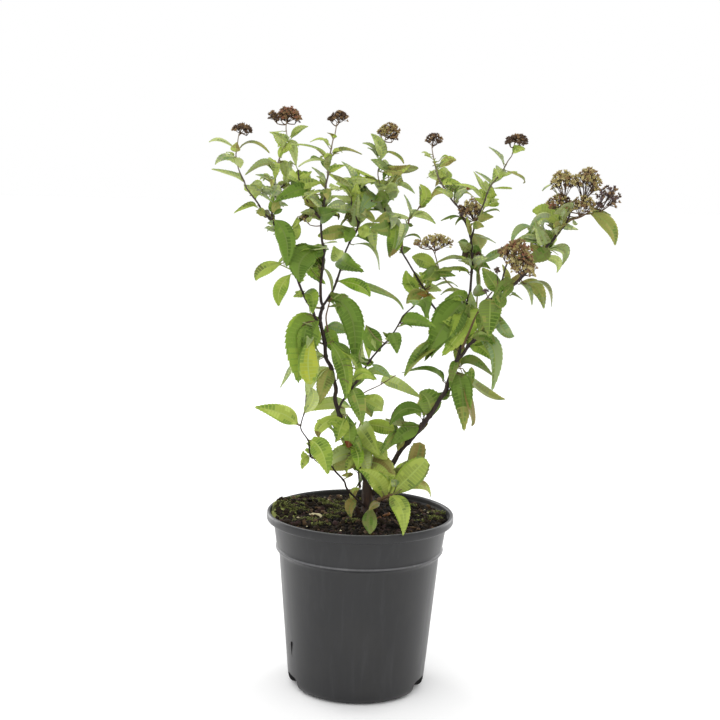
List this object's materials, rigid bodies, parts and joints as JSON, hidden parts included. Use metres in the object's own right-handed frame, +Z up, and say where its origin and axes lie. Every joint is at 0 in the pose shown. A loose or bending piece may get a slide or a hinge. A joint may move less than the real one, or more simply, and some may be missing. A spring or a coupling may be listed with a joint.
{
  "type": "potted spirea shrub",
  "caption": "Small flowering shrub in its nursery pot: thin arching stems from a woody stump, masses of toothed leaves, flat dried seed heads, round pot filled with soil.",
  "frame": {"origin": "centre of the pot's flat underside", "axes": "+Z up along the pot's axis, +X to the right and +Y to the back as the plant is seen from its front"},
  "size_m": [0.3939, 0.2503, 0.5871],
  "materials": {
    "pot": "satin injection-moulded plastic, dark grey, lightly scuffed",
    "soil": "moist peat and bark potting soil with moss patches",
    "bark": "thin purple-brown bark, lightly ridged, paler and greener on the upper shoots",
    "foliage": "toothed deciduous leaves, fresh green to yellow-green, some blue-green, olive-brown and reddish",
    "seed_head": "dry brown follicles in flat clusters"
  },
  "bodies": {
    "root": {"pot": "pot", "root_ball": "soil", "stump": "bark", "stem_left": "bark", "stem_left_upper": "bark", "stem_left_back": "bark", "stem_outer_left": "bark", "stem_outer_left_front": "bark", "stem_outer_left_back": "bark", "stem_right": "bark", "stem_right_upper": "bark", "stem_right_front": "bark", "stem_right_outer": "bark", "stem_centre_back": "bark", "stem_centre_front": "bark", "stalk_front": "bark", "shoot_base_left": "bark", "leaves_outer_left_front": "foliage", "leaves_outer_left_back": "foliage", "leaves_outer_left_low": "foliage", "leaves_left_inner": "foliage", "leaves_left_top": "foliage", "leaves_left_upper": "foliage", "leaves_back_left_top": "foliage", "leaves_back_left": "foliage", "leaves_left_centre": "foliage", "leaves_left_big": "foliage", "leaves_left_lower": "foliage", "leaves_centre_low": "foliage", "leaves_centre": "foliage", "leaves_centre_tip": "foliage", "leaves_centre_back_top": "foliage", "leaves_centre_back": "foliage", "leaves_right_mid_top": "foliage", "leaves_right_mid_upper": "foliage", "leaves_right_front_top": "foliage", "leaves_right_middle": "foliage", "leaves_right_centre": "foliage", "leaves_right_inner": "foliage", "leaves_right_hanging": "foliage", "leaves_right_droop": "foliage", "leaves_right_outer_low": "foliage", "leaves_right_outer": "foliage", "leaves_right_tip": "foliage", "leaves_right_behind": "foliage", "leaves_under_right": "foliage", "leaf_far_left": "foliage", "leaves_base_left": "foliage", "leaves_base_centre": "foliage", "leaves_base_right": "foliage", "leaves_base_front": "foliage", "seed_head_1": "seed_head", "seed_head_2": "seed_head", "seed_head_3": "seed_head", "seed_head_4": "seed_head", "seed_head_5": "seed_head", "seed_head_6": "seed_head", "seed_head_outer": "seed_head", "seed_head_front": "seed_head", "seed_head_middle": "seed_head"}
  },
  "joints": []
}
